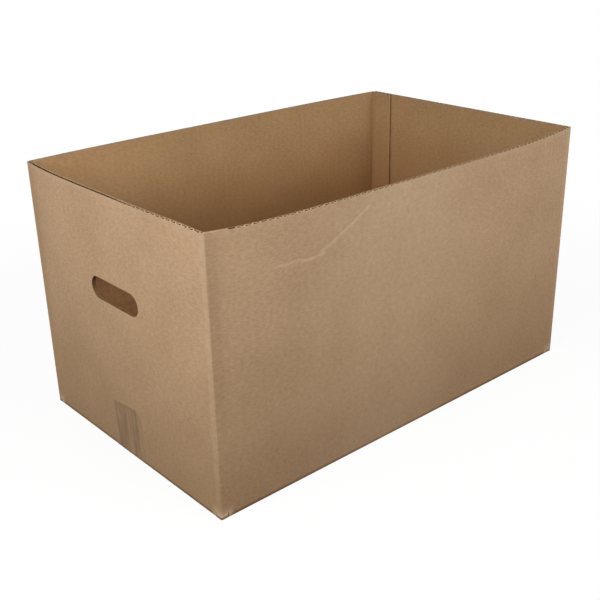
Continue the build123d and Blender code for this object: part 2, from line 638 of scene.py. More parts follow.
class NodeBench:
    """Adds nodes to one tree and links them."""

    def __init__(self, tree: bpy.types.NodeTree) -> None:
        """Keeps the tree, which starts empty."""
        self.tree = tree
        self.tree.nodes.clear()

    def add(self, kind: str, inputs: dict | None = None, **settings: object) -> bpy.types.Node:
        """Adds a node.

        Args:
            kind: The node's type name.
            inputs: Values or sockets for its inputs, by name or number.
            **settings: The node's own settings.

        Returns:
            The node.
        """
        node = self.tree.nodes.new(kind)
        for name, value in settings.items():
            setattr(node, name, value)
        for key, value in (inputs or {}).items():
            if isinstance(value, bpy.types.NodeSocket):
                self.tree.links.new(value, node.inputs[key])
            else:
                node.inputs[key].default_value = value
        return node

    def math(
        self, operation: str, first: object, second: object = 0.0, third: object = 0.0
    ) -> bpy.types.NodeSocket:
        """Adds a Math node and gives its output.

        Args:
            operation: The operation's name.
            first: The first value or socket.
            second: The second value or socket.
            third: The value or socket that a multiply-add adds.

        Returns:
            The node's output socket.
        """
        inputs = {0: first, 1: second, 2: third}
        return self.add("ShaderNodeMath", inputs, operation=operation).outputs[0]

    def mix(self, factor: object, first: object, second: object) -> bpy.types.NodeSocket:
        """Adds a colour Mix node and gives its result.

        Args:
            factor: How much of the second colour shows.
            first: The first colour or socket.
            second: The second colour or socket.

        Returns:
            The node's colour output.
        """
        inputs = {0: factor, 6: first, 7: second}
        return self.add("ShaderNodeMix", inputs, data_type="RGBA").outputs[2]

    def noise(self, vector: object, scale: float, detail: float) -> bpy.types.NodeSocket:
        """Adds a flat noise and gives its value, which lies about 0.5.

        Args:
            vector: The coordinates' socket.
            scale: Features to the metre.
            detail: How many finer layers it has.

        Returns:
            The noise's value output.
        """
        inputs = {"Vector": vector, "Scale": scale, "Detail": detail}
        return self.add("ShaderNodeTexNoise", inputs, noise_dimensions="2D").outputs[0]

    def swing(self, vector: object, scale: float, detail: float) -> bpy.types.NodeSocket:
        """Adds the same noise and gives how far it swings from 0.5."""
        return self.math("SUBTRACT", self.noise(vector, scale, detail), 0.5)

    def coat(self, inputs: dict) -> None:
        """Ends a material's tree with a principled surface of those inputs."""
        shader = self.add("ShaderNodeBsdfPrincipled", inputs)
        self.add("ShaderNodeOutputMaterial", {"Surface": shader.outputs[0]})


def opaque(colour: Colour) -> tuple[float, float, float, float]:
    """The colour with full alpha, as sockets take it."""
    return *colour, 1.0


def new_material(name: str) -> tuple[bpy.types.Material, NodeBench]:
    """Starts a material.

    Args:
        name: The material's name.

    Returns:
        The material, and a bench on its tree.
    """
    made = bpy.data.materials.new(name)
    made.use_nodes = True
    return made, NodeBench(made.node_tree)


def new_group(kind: str, name: str, inputs: dict[str, str], outputs: dict[str, str]) -> NodeBench:
    """Starts a node group with named sockets.

    Args:
        kind: The type of its tree.
        name: The group's name.
        inputs: The names of its inputs, with the kind of each socket.
        outputs: The same for its outputs.

    Returns:
        A bench on the group's tree.
    """
    tree = bpy.data.node_groups.new(name, kind)
    for way, sockets in (("INPUT", inputs), ("OUTPUT", outputs)):
        for label, socket in sockets.items():
            tree.interface.new_socket(label, in_out=way, socket_type=f"NodeSocket{socket}")
    return NodeBench(tree)


@dataclass
class PaperGroups:
    """The shader node groups that the paper finishes share. Scales are in features to the metre."""

    cloud_scale: float = 14.0
    mottle_scale: float = 170.0
    mottle_weight: float = 0.7
    fibre_scale: float = 520.0
    fibre_stretch: float = 0.3
    fibre_weight: float = 1.3
    rib_height: float = 0.5
    fleck_scale: float = 330.0
    fleck_range: tuple[float, float] = (0.66, 0.74)
    fleck_colour: Colour = (0.16, 0.09, 0.045)
    breakup_scale: float = 120.0

    def __post_init__(self) -> None:
        """Builds the groups."""
        self.fibre = self.build_fibre()
        self.scuff_and_painted_light = self.build_paling()

    def build_fibre(self) -> bpy.types.NodeTree:
        """Builds the kraft fibre: clouds, mottle, fine fibre and flecks, with faint painted shade stripes at
        the flute pitch.

        Returns:
            The group, with a colour and a height.
        """
        amounts = dict.fromkeys(("Cloud", "Grain", "Fleck", "Flute Pitch", "Flute Shade"), "Float")
        inputs = {"Vector": "Vector", "Deep": "Color", "Pale": "Color", **amounts}
        bench = new_group("ShaderNodeTree", "kraft_fibre", inputs, {"Color": "Color", "Height": "Float"})
        given = bench.add("NodeGroupInput").outputs
        stretch = {"Vector": given["Vector"], "Scale": (self.fibre_stretch, 1.0, 1.0)}
        along = bench.add("ShaderNodeMapping", stretch).outputs[0]
        cloud = bench.swing(given["Vector"], self.cloud_scale, detail=3.0)
        mottle = bench.swing(given["Vector"], self.mottle_scale, detail=5.0)
        fibre = bench.swing(along, self.fibre_scale, detail=4.0)
        speck = bench.noise(given["Vector"], self.fleck_scale, detail=2.0)
        coarse = bench.math("MULTIPLY", mottle, self.mottle_weight)
        grain = bench.math("ADD", coarse, bench.math("MULTIPLY", fibre, self.fibre_weight))
        tone = bench.math("MULTIPLY_ADD", cloud, given["Cloud"], 0.5)
        mixed = bench.math("MULTIPLY_ADD", grain, given["Grain"], tone)
        across = bench.add("ShaderNodeSeparateXYZ", {0: given["Vector"]}).outputs[0]
        # Painted shade: the colour swings faintly with the flute pitch.
        turns = bench.math("DIVIDE", across, given["Flute Pitch"])
        wave = bench.math("SINE", bench.math("MULTIPLY", turns, 2 * math.pi))
        ribbed = bench.math("MULTIPLY_ADD", wave, given["Flute Shade"], mixed)
        paper = bench.mix(ribbed, given["Deep"], given["Pale"])
        low, high = self.fleck_range
        fleck = {"Value": speck, "From Min": low, "From Max": high}
        dark = bench.add("ShaderNodeMapRange", fleck, clamp=True).outputs[0]
        share = bench.math("MULTIPLY", dark, given["Fleck"])
        flecked = bench.mix(share, paper, opaque(self.fleck_colour))
        height = bench.math("MULTIPLY_ADD", wave, self.rib_height, grain)
        bench.add("NodeGroupOutput", {"Color": flecked, "Height": height})
        return bench.tree

    def build_paling(self) -> bpy.types.NodeTree:
        """Builds the paling: a mask broken up by noise that mixes in a paler colour, for scuffs that bare the
        fibre and for painted light.

        Returns:
            The group, with a colour and the broken mask.
        """
        amounts = dict.fromkeys(("Mask", "Amount", "Breakup"), "Float")
        inputs = {"Vector": "Vector", "Base": "Color", "Bare": "Color", **amounts}
        bench = new_group("ShaderNodeTree", "paper_scuff_and_painted_light", inputs, {"Color": "Color", "Mask": "Float"})
        given = bench.add("NodeGroupInput").outputs
        rough = bench.swing(given["Vector"], self.breakup_scale, detail=5.0)
        broken = bench.math("MULTIPLY", rough, given["Breakup"])
        shaken = bench.math("ADD", given["Mask"], bench.math("MULTIPLY", broken, given["Mask"]))
        share = bench.add("ShaderNodeClamp", {0: bench.math("MULTIPLY", shaken, given["Amount"])}).outputs[0]
        bench.add("NodeGroupOutput", {"Color": bench.mix(share, given["Base"], given["Bare"]), "Mask": share})
        return bench.tree


@dataclass(frozen=True)
class KraftFinish:
    """Unbleached kraft paper, matt, with its fibre, its scuffs and painted light from a pale mask, and
    painted shade from a dark mask.
    """

    name: str
    deep: Colour
    pale: Colour
    # Paler colour for scuffs and for painted light.
    bare: Colour
    # Dark colour of the painted shade.
    painted_shade: Colour
    cloud: float = 0.85
    grain: float = 1.35
    fleck: float = 0.25
    flute_pitch: float = FLUTE_PITCH
    # Painted shade: faint stripes in the colour at the flute pitch, for the washboard ridges' shading.
    flute_shade: float = 0.02
    # How far the pale mask pales the paper, for scuffs and painted light.
    scuff_and_painted_light: float = 0.28
    breakup: float = 1.6
    # How far the painted shade darkens the paper.
    painted_shade_amount: float = 0.3
    roughness: float = 0.88
    specular: float = 0.18
    bump: float = 0.25
    bump_depth: float = 0.0004

    def material(self, groups: PaperGroups) -> bpy.types.Material:
        """Builds the paper's material.

        Args:
            groups: The shared shader groups.

        Returns:
            The material.
        """
        made, bench = new_material(self.name)
        flat = bench.add("ShaderNodeUVMap", uv_map="flat").outputs[0]
        # Pale mask: scuffs and painted light. Dark mask: painted shade.
        wear_and_painted_light = bench.add("ShaderNodeAttribute", attribute_name="wear_and_painted_light").outputs["Fac"]
        painted_shade = bench.add("ShaderNodeAttribute", attribute_name="painted_shade").outputs["Fac"]
        paper = {
            "Vector": flat,
            "Deep": opaque(self.deep),
            "Pale": opaque(self.pale),
            "Cloud": self.cloud,
            "Grain": self.grain,
            "Fleck": self.fleck,
            "Flute Pitch": self.flute_pitch * METRES,
            "Flute Shade": self.flute_shade,
        }
        fibre = bench.add("ShaderNodeGroup", paper, node_tree=groups.fibre).outputs
        # Painted shade: the dark mask mixes in the dark colour.
        share = bench.math("MULTIPLY", painted_shade, self.painted_shade_amount)
        # Scuffs and painted light: the pale mask mixes in the paler colour.
        worn_and_painted_light = {
            "Vector": flat,
            "Base": bench.mix(share, fibre["Color"], opaque(self.painted_shade)),
            "Bare": opaque(self.bare),
            "Mask": wear_and_painted_light,
            "Amount": self.scuff_and_painted_light,
            "Breakup": self.breakup,
        }
        scuffed_and_painted_light = bench.add("ShaderNodeGroup", worn_and_painted_light, node_tree=groups.scuff_and_painted_light).outputs
        bump = {"Height": fibre["Height"], "Strength": self.bump, "Distance": self.bump_depth}
        bench.coat(
            {
                "Base Color": scuffed_and_painted_light["Color"],
                "Roughness": self.roughness,
                "Specular IOR Level": self.specular,
                "Normal": bench.add("ShaderNodeBump", bump).outputs[0],
            }
        )
        return made


def cut_paper(name: str, deep: Colour, pale: Colour, bare: Colour, painted_shade: Colour) -> KraftFinish:
    """A finish for cut paper, which has no sheen and no painted flute stripes."""
    return KraftFinish(name, deep, pale, bare, painted_shade, flute_shade=0.0, specular=0.0)


BOARD_FINISHES = {
    BoardFace.OUTER: KraftFinish(
        name="kraft_outer_liner",
        deep=(0.395, 0.26, 0.152),
        pale=(0.5, 0.34, 0.208),
        bare=(0.6, 0.44, 0.29),
        painted_shade=(0.14, 0.066, 0.015),
        painted_shade_amount=0.35,
    ),
    BoardFace.INNER: KraftFinish(
        name="kraft_inner_liner",
        deep=(0.315, 0.19, 0.088),
        pale=(0.405, 0.253, 0.122),
        bare=(0.75, 0.41, 0.2),
        painted_shade=(0.215, 0.088, 0.017),
        painted_shade_amount=0.73,
    ),
    BoardFace.RAW_EDGE: cut_paper(
        name="kraft_raw_edge",
        deep=(0.52, 0.35, 0.205),
        pale=(0.64, 0.45, 0.28),
        bare=(0.58, 0.42, 0.27),
        painted_shade=(0.28, 0.18, 0.1),
    ),
    # Painted shade: near black, for the shade deep in the flutes; the medium's sides take it too.
    BoardFace.FLUTE_HOLLOW: cut_paper(
        name="flute_hollow_painted_shade",
        deep=(0.035, 0.01, 0.001),
        pale=(0.06, 0.019, 0.002),
        bare=(0.1, 0.06, 0.035),
        painted_shade=(0.03, 0.018, 0.01),
    ),
    BoardFace.PRESSED_EDGE: cut_paper(
        name="kraft_pressed_edge",
        deep=(0.16, 0.088, 0.04),
        pale=(0.22, 0.125, 0.058),
        bare=(0.4, 0.28, 0.18),
        painted_shade=(0.1, 0.06, 0.035),
    ),
    # Painted shade: dark brown, for the shadow in the gap at a side cut's edge.
    BoardFace.SIDE_CUT: cut_paper(
        name="side_cut_painted_shade",
        deep=(0.19, 0.1, 0.038),
        pale=(0.25, 0.135, 0.052),
        bare=(0.4, 0.28, 0.18),
        painted_shade=(0.1, 0.06, 0.035),
    ),
}
MEDIUM_EDGE = cut_paper(
    name="kraft_medium_edge",
    deep=(0.58, 0.4, 0.24),
    pale=(0.74, 0.53, 0.33),
    bare=(0.74, 0.53, 0.33),
    painted_shade=(0.2, 0.12, 0.06),
)


@dataclass(frozen=True)
class TapeFinish:
    """Thin brownish sealing tape with streaks along its length, and painted shade where it nears the floor.
    """

    name: str = "sealing_tape_film"
    deep: Colour = (0.18, 0.115, 0.06)
    pale: Colour = (0.37, 0.248, 0.146)
    board: Colour = (0.35, 0.225, 0.122)
    # Dark colour of the painted shade near the floor.
    painted_shade: Colour = (0.05, 0.028, 0.014)
    streak_scale: float = 170.0
    streak_stretch: float = 0.06
    blotch_scale: float = 40.0
    blotch_weight: float = 0.5
    contrast: float = 1.2
    soft_side: tuple[float, float] = (0.023, 0.033)
    side_fade: float = 0.65
    roughness: float = 0.65
    specular: float = 0.1
    bump: float = 0.3
    bump_depth: float = 0.0003

    def material(self) -> bpy.types.Material:
        """Builds the tape's material.

        Returns:
            The material.
        """
        made, bench = new_material(self.name)
        flat = bench.add("ShaderNodeUVMap", uv_map="flat").outputs[0]
        stretch = {"Vector": flat, "Scale": (1.0, self.streak_stretch, 1.0)}
        drawn = bench.add("ShaderNodeMapping", stretch).outputs[0]
        streak = bench.noise(drawn, self.streak_scale, detail=5.0)
        blotch = bench.noise(flat, self.blotch_scale, detail=3.0)
        both = bench.math("ADD", streak, bench.math("MULTIPLY", blotch, self.blotch_weight))
        uneven = bench.math("SUBTRACT", both, (1 + self.blotch_weight) / 2)
        tone = bench.math("MULTIPLY_ADD", uneven, self.contrast, 0.5)
        film = bench.mix(tone, opaque(self.deep), opaque(self.pale))
        across = bench.math("ABSOLUTE", bench.add("ShaderNodeSeparateXYZ", {0: flat}).outputs[0])
        inner, outer = self.soft_side
        fade = {"Value": across, "From Min": inner, "From Max": outer, "To Max": self.side_fade}
        side = bench.add("ShaderNodeMapRange", fade, clamp=True).outputs[0]
        # Painted shade: the dark colour mixes in near the floor.
        painted_shade = bench.add("ShaderNodeAttribute", attribute_name="painted_shade").outputs["Fac"]
        colour = bench.mix(painted_shade, bench.mix(side, film, opaque(self.board)), opaque(self.painted_shade))
        bump = {"Height": streak, "Strength": self.bump, "Distance": self.bump_depth}
        bench.coat(
            {
                "Base Color": colour,
                "Roughness": self.roughness,
                "Specular IOR Level": self.specular,
                "Normal": bench.add("ShaderNodeBump", bump).outputs[0],
            }
        )
        return made


@dataclass(frozen=True)
class GlueFinish:
    """Dried adhesive, a dull and uneven tan."""

    name: str = "dried_glue"
    deep: Colour = (0.6, 0.51, 0.35)
    pale: Colour = (0.72, 0.65, 0.49)
    smear_scale: float = 60.0
    roughness: float = 0.6

    def material(self) -> bpy.types.Material:
        """Builds the glue's material.

        Returns:
            The material.
        """
        made, bench = new_material(self.name)
        place = bench.add("ShaderNodeTexCoord").outputs["Object"]
        turn = {"Vector": place, "Rotation": (0.0, math.pi / 2, 0.0)}
        along = bench.add("ShaderNodeMapping", turn).outputs[0]
        smear = bench.noise(along, self.smear_scale, detail=4.0)
        colour = bench.mix(smear, opaque(self.deep), opaque(self.pale))
        bench.coat({"Base Color": colour, "Roughness": self.roughness})
        return made


@dataclass(frozen=True)
class Band:
    """A soft band of a mask: its strength, the place of its middle, and how far it fades."""

    strength: float
    middle: float
    fade: float

    def at(self, place: Array) -> Array:
        """The band's strength at each place."""
        return self.strength * np.exp(-(((place - self.middle) / self.fade) ** 2))


@dataclass(frozen=True)
class Ramp:
    """A change from 0 to 1 over a reach from a start. A negative reach goes the other way."""

    start: float
    reach: float

    def at(self, place: Array) -> Array:
        """The ramp's value at each place."""
        return np.clip((place - self.start) / self.reach, 0, 1)


@dataclass(frozen=True)
class BoardMarks:
    """Where the board is paled and where it is darkened: scuffs and worn folds, painted light, and painted
    shade.

    Bands are in millimetres from the line that they follow. Ramps are in shares of the walls' rise from the
    rim down. The belly's band and the left end's ramp are in shares of their wall's run.
    """

    sheet: FoldedSheet
    rim_wear: Band = Band(0.5, 0.0, 1.5)
    # Worn and painted highlight: a pale line just before the middle of each upright fold, fading downwards.
    ridge_wear_and_highlight: Band = Band(1.0, -2.5, 2.6)
    # Painted light: the front wall paler across its middle, fading downwards.
    belly_painted_light: Band = Band(1.2, 0.43, 0.19)
    # Worn and painted highlight: a pale line along each crease.
    crease_wear_and_highlight: Band = Band(1.9, 0.0, 1.5)
    # The ridge's and the belly's paling fades by this share towards the bottom.
    fade_down: float = 0.55
    # Painted shade: a dark band just past the middle of each upright fold, on the next wall's side.
    fold_painted_shade: Band = Band(0.55, 6.0, 10.0)
    # Painted shade: a dark line along the middle of the bottom fold, where the box meets the floor.
    turn_painted_shade: Band = Band(3.0, 0.0, 2.6)
    # Painted shade: the outer walls darken towards the bottom.
    low_painted_shade: Ramp = Ramp(0.35, 0.65)
    low_painted_shade_power: float = 1.2
    foot_wear: Band = Band(3.2, 4.5, 2.2)
    # Painted shade: a dark spot at the foot of each upright fold, where it meets the floor.
    foot_painted_shade: Band = Band(3.0, 0.0, 1.3)
    foot_reach: float = 12.0
    # Painted shade on the inner face: darker from a tenth of the way down, most at about half way, gone by
    # six tenths.
    inner_painted_shade_in: Ramp = Ramp(0.1, 0.5)
    inner_painted_shade_out: Ramp = Ramp(0.6, -0.12)
    # Painted shade: the inner corners darker, more so further down.
    inner_fold_painted_shade: Band = Band(1.0, 0.0, 7.0)
    inner_fold_top: float = 0.3
    inner_fold_gain: float = 2.0
    inner_fold_limit: float = 0.4
    # The inner face turns paler and warmer from about half way down, and on the flaps.
    inner_low: Ramp = Ramp(0.5, 0.14)
    inner_low_paling: float = 2.4
    # Painted light on the inner face of the back wall: paler towards its left end, near the rim.
    left_end: Ramp = Ramp(0.62, 0.3)
    left_end_fall: Ramp = Ramp(0.5, -1 / 2.8)
    left_end_painted_light: float = 0.55

    def fold_gaps(self, run: Array) -> list[Array]:
        """How far places along the strip lie past the middle of each upright fold."""
        return [run - (panel.flat_end + self.sheet.fold_run / 2) for panel in self.sheet.panels[:-1]]

    def outer(self, flat: Array) -> tuple[Array, Array]:
        """Marks the outer face.

        Args:
            flat: The blank's points.

        Returns:
            The paling (scuffs and painted light) and the painted shade at each point.
        """
        sheet = self.sheet
        run, down = flat[:, 0], flat[:, 1]
        level = down / sheet.rise
        above_foot = sheet.height - sheet.corner_foot - down
        wear_and_painted_light = self.rim_wear.at(down)
        # Painted shade: darker towards the bottom of the walls.
        painted_shade = self.low_painted_shade.at(level) ** self.low_painted_shade_power
        for gap in self.fold_gaps(run):
            at_foot = np.abs(gap) < self.foot_reach
            # Worn and painted highlight along the fold.
            ridge = self.ridge_wear_and_highlight.at(gap) * (1 - self.fade_down * np.clip(level, 0, 1))
            wear_and_painted_light = np.maximum(wear_and_painted_light, ridge)
            wear_and_painted_light = np.maximum(wear_and_painted_light, self.foot_wear.at(above_foot) * at_foot)
            # Painted shade past each upright fold.
            painted_shade = np.maximum(painted_shade, self.fold_painted_shade.at(gap) * (gap > 0))
            # Painted shade at the foot of each upright fold.
            painted_shade = np.maximum(painted_shade, self.foot_painted_shade.at(above_foot) * at_foot)
        front = sheet.panel("front_wall")
        # Painted light across the front wall's middle.
        belly = self.belly_painted_light.at((run - front.flat_start) / front.length)
        wear_and_painted_light = np.maximum(wear_and_painted_light, belly * np.clip(1 - self.fade_down * level, 0, 1))
        # Worn and painted highlight along the creases.
        for crease in sheet.creases:
            wear_and_painted_light += self.crease_wear_and_highlight.at(distance_to_path(flat, sheet.crease_path(crease)))
        # Painted shade along the bottom fold.
        turn = sheet.rise + sheet.score_land + sheet.fold_run / 2
        return wear_and_painted_light, np.maximum(painted_shade, self.turn_painted_shade.at(down - turn))

    def inner(self, flat: Array) -> tuple[Array, Array]:
        """Marks the inner face.

        Args:
            flat: The blank's points.

        Returns:
            The paling and the painted shade at each point.
        """
        run, level = flat[:, 0], flat[:, 1] / self.sheet.rise
        # Painted shade, growing with depth below the rim.
        painted_shade = self.inner_painted_shade_in.at(level) * self.inner_painted_shade_out.at(level)
        strength = self.inner_fold_top + self.inner_fold_gain * np.clip(level, 0, self.inner_fold_limit)
        # Painted shade in the inner corners.
        for gap in self.fold_gaps(run):
            painted_shade = np.maximum(painted_shade, strength * self.inner_fold_painted_shade.at(gap))
        # Painted light on the back wall's inner face.
        back = self.sheet.panel("back_wall")
        left_end = self.left_end.at((run - back.flat_start) / back.length) * (run < back.flat_end)
        wear_and_painted_light = self.left_end_painted_light * left_end * self.left_end_fall.at(level)
        # Paler towards the bottom of the inner face.
        return np.maximum(wear_and_painted_light, self.inner_low_paling * self.inner_low.at(level)), painted_shade


@dataclass
class Carton:
    """The folded board: both liners, the upright and bottom folds, the flaps, and grooved raw edges.

    The grid's gap and shares beside a crease are counted in the crease's half widths.
    """

    sheet: FoldedSheet
    hole: HandHole
    step: float = 10.0
    fold_step: float = 3.5
    foot_rows: tuple[float, float] = (2.0, 4.0)
    edge_gap: float = 0.4
    hole_gap: float = 3.0
    crease_step: float = 2.5
    crease_gap: float = 4.4
    crease_shares: tuple[float, ...] = (-3.2, -2.0, -1.0, -0.5, 0.0, 0.5, 1.0, 2.0, 3.2)
    merge: float = 1e-4
    slack: float = 1e-3
    mitre_limit: float = 0.4
    rim_groove: float = 12.0
    cut_groove: float = 5.0
    cut_inset: float = 1.0
    side_groove: float = 0.35
    outer_lip: float = 0.3
    inner_lip: float = 0.9
    closed_groove: float = 0.3
    closed_run: tuple[float, float] = (-4.0, 33.0)
    sharp_angle: float = 35.0

    def stations(self) -> Array:
        """Spaces the grid's columns: evenly on the panels and closely on the folds.

        Returns:
            The columns' runs along the strip.
        """
        sheet = self.sheet
        runs: list[float] = []
        for panel in sheet.panels:
            beside = (panel.flat_start + self.fold_step, panel.flat_end - self.fold_step)
            parts = math.ceil((beside[1] - beside[0]) / self.step)
            runs.extend([panel.flat_start, *np.linspace(*beside, parts + 1), panel.flat_end])
            runs.extend(panel.flat_end + sheet.fold_run * share for share in sheet.fold_shares[1:-1])
        end = sheet.panels[-1].flat_end
        return np.array([run for run in runs if run <= end + self.slack])

    def outline(self) -> list[tuple[float, float]]:
        """Draws the blank's cut outline.

        Returns:
            A loop of points.
        """
        sheet = self.sheet
        land = sheet.corner_land - sheet.fold_radius
        low, rise = sheet.height - sheet.corner_foot, sheet.rise
        runs = self.stations()
        points = [(float(run), 0.0) for run in runs]
        end = float(runs[-1])
        flap_last = sheet.flap_span(sheet.panels[-1])[1]
        gap = sheet.flap_inset - sheet.corner_land
        corners = [(end, 0.0), (end, low), (flap_last + gap, low)]
        points.extend(divided(corners, self.step)[1:])
        for panel in reversed(sheet.panels[1:]):
            first, last = sheet.flap_span(panel)
            free = sheet.flap_end(panel.flap)
            cut, relief = sheet.flap_row(panel.flap, sheet.corner_land), panel.flap.relief
            turn = self.fold_rows(panel)
            corners = [(last + gap, low), (last + gap, rise), (last, rise), *((last, row) for row in turn)]
            if relief:
                corners += [(last, cut), (last - relief, cut), (last - relief, free)]
                corners += [(first + relief, free), (first + relief, cut), (first, cut)]
            else:
                corners += [(last, free), (first, free)]
            corners += [(first, row) for row in reversed(turn)]
            corners += [(first, rise), (first - gap, rise), (first - gap, low)]
            points.extend(divided(corners, self.step))
            foot_from = first - gap
            foot_to = panel.flat_start - sheet.fold_run - land
            within = (runs > foot_to + self.edge_gap) & (runs < foot_from - self.edge_gap)
            inner = runs[within][::-1].tolist()
            points.extend((run, low) for run in [foot_from, *inner])
        tab_end = sheet.panels[0].flat_end - land
        corners = [(tab_end, low), (tab_end, rise), (0.0, rise), (0.0, 0.0)]
        points.extend(divided(corners, self.step))
        return points

    def fold_rows(self, panel: Panel) -> list[float]:
        """Finds where the grid crosses the fold of a panel's flap.

        Args:
            panel: The wall that carries the flap.

        Returns:
            The rows' distances below the rim.
        """
        sheet = self.sheet
        bend = sheet.rise + sheet.foot - panel.flap.fold_underside - sheet.fold_radius
        return [bend + sheet.fold_run * share for share in sheet.fold_shares]

    def rows(self, panel: Panel | None) -> Array:
        """The grid's rows below the rim, down to the foot of a fold or the end of a flap.

        Args:
            panel: The wall whose flap the rows go on to, or None for a fold.

        Returns:
            The rows' distances below the rim.
        """
        sheet = self.sheet
        rows = list(np.linspace(0, sheet.rise, math.ceil(sheet.rise / self.step) + 1))
        if panel is None:
            return np.array([*rows, *(sheet.rise + row for row in self.foot_rows)])
        turn = self.fold_rows(panel)
        flat = turn[-1] + sheet.slope_run
        free = sheet.flap_end(panel.flap)
        ahead = np.linspace(flat, free, math.ceil((free - flat) / (2 * self.step)) + 1)[:-1]
        return np.array([*rows, *turn, *ahead])

    def lattice(self) -> Array:
        """Lays out the grid, with closer points along the creases.

        Returns:
            The grid's flat points, also those beyond the blank's outline.
        """
        sheet = self.sheet
        spans = [(panel, *sheet.flap_span(panel)) for panel in sheet.panels[1:]]
        points: list[tuple[float, float]] = []
        for run in self.stations():
            home = next((panel for panel, first, last in spans if first <= run <= last), None)
            points.extend((float(run), float(row)) for row in self.rows(home))
        grid = np.array(points)
        near = []
        for crease in sheet.creases:
            corners = sheet.crease_path(crease)
            grid = grid[distance_to_path(grid, corners) > self.crease_gap * crease.half_width]
            path = np.array(divided([tuple(corner) for corner in corners], self.crease_step))
            along = np.gradient(path, axis=0)
            along /= np.hypot(along[:, 0], along[:, 1])[:, None]
            across = np.stack([-along[:, 1], along[:, 0]], -1)
            for share in self.crease_shares:
                near.append(path + across * share * crease.half_width)
        return np.concatenate([grid, *near])

    def triangulate(self) -> tuple[Array, Array]:
        """Cuts the blank into triangles.

        Returns:
            The flat points, and the triangles as rows of point numbers.
        """
        loops = [np.array(self.outline())]
        for side in Side:
            loops.append(np.array(self.hole.outline(self.sheet.panel(side.wall))))
        inner = self.lattice()
        inner = inner[inside_loops(inner, loops)]
        for loop, least in zip(loops, (self.edge_gap, self.hole_gap, self.hole_gap)):
            gap = distance_to_path(inner, np.vstack([loop, loop[:1]]))
            inner = inner[gap > least]
        edges = []
        offset = 0
        for loop in loops:
            count = len(loop)
            edges.extend((offset + n, offset + (n + 1) % count) for n in range(count))
            offset += count
        flat = np.vstack([*loops, inner])
        result = delaunay_2d_cdt([Vector(point) for point in flat.tolist()], edges, [], 0, self.merge)
        points = np.array([tuple(point) for point in result[0]])
        triangles = np.array([tuple(face) for face in result[2]])
        kept = inside_loops(points[triangles].mean(axis=1), loops)
        triangles = triangles[kept]
        sides = points[triangles]
        first, second = sides[:, 1] - sides[:, 0], sides[:, 2] - sides[:, 0]
        turned = first[:, 0] * second[:, 1] - first[:, 1] * second[:, 0] < 0
        triangles[turned] = triangles[turned][:, ::-1]
        used = np.unique(triangles)
        renumber = np.zeros(len(points), int)
        renumber[used] = np.arange(len(used))
        return points[used], renumber[triangles]

    def boundary(self, flat: Array, triangles: Array) -> tuple[Array, Array, Array, Array, Array]:
        """Finds the cut edges and, at each of their points, the way into the board and the groove's depth.

        Args:
            flat: The blank's points.
            triangles: Its triangles.

        Returns:
            The edges as rows of two point numbers, the ways in, the groove's depths, which points lie on the
            pressed edge of a hand hole, and which lie where the rim's flutes are crushed closed.
        """
        halves = np.vstack([triangles[:, [0, 1]], triangles[:, [1, 2]], triangles[:, [2, 0]]])
        keys = {(int(a), int(b)) for a, b in halves}
        edges = np.array([edge for edge in sorted(keys) if edge[::-1] not in keys])
        way = flat[edges[:, 1]] - flat[edges[:, 0]]
        normal = np.stack([-way[:, 1], way[:, 0]], -1) / np.hypot(way[:, 0], way[:, 1])[:, None]
        inward = np.zeros_like(flat)
        crossing = np.ones(len(flat))
        for column in (0, 1):
            seen = inward[edges[:, column]]
            crossing[edges[:, column]] += (seen * normal).sum(axis=1)
            inward[edges[:, column]] = seen + normal
        inward /= np.maximum(crossing, self.mitre_limit)[:, None]
        groove = np.full(len(flat), self.side_groove)
        ends = self.sheet.panels[-1].flat_end
        rim = (flat[:, 1] < self.slack) & (flat[:, 0] > self.slack) & (flat[:, 0] < ends - self.slack)
        groove[rim] = self.rim_groove
        past = flat[:, 0] - self.sheet.near_corner
        closed = rim & (past > self.closed_run[0]) & (past < self.closed_run[1])
        groove[closed] = self.closed_groove
        pressed = np.zeros(len(flat), bool)
        for side in Side:
            away = np.abs(flat - self.hole.middle(self.sheet.panel(side.wall)))
            pressed |= (away[:, 0] < self.hole.length) & (away[:, 1] < self.hole.height)
        for panel in self.sheet.panels[1:]:
            low, high = self.sheet.flap_span(panel)
            on_edge = np.abs(flat[:, 1] - self.sheet.flap_end(panel.flap)) < self.slack
            on_edge &= (flat[:, 0] > low + self.cut_inset) & (flat[:, 0] < high - self.cut_inset)
            groove[on_edge] = self.cut_groove
        return edges, inward, groove, pressed, closed

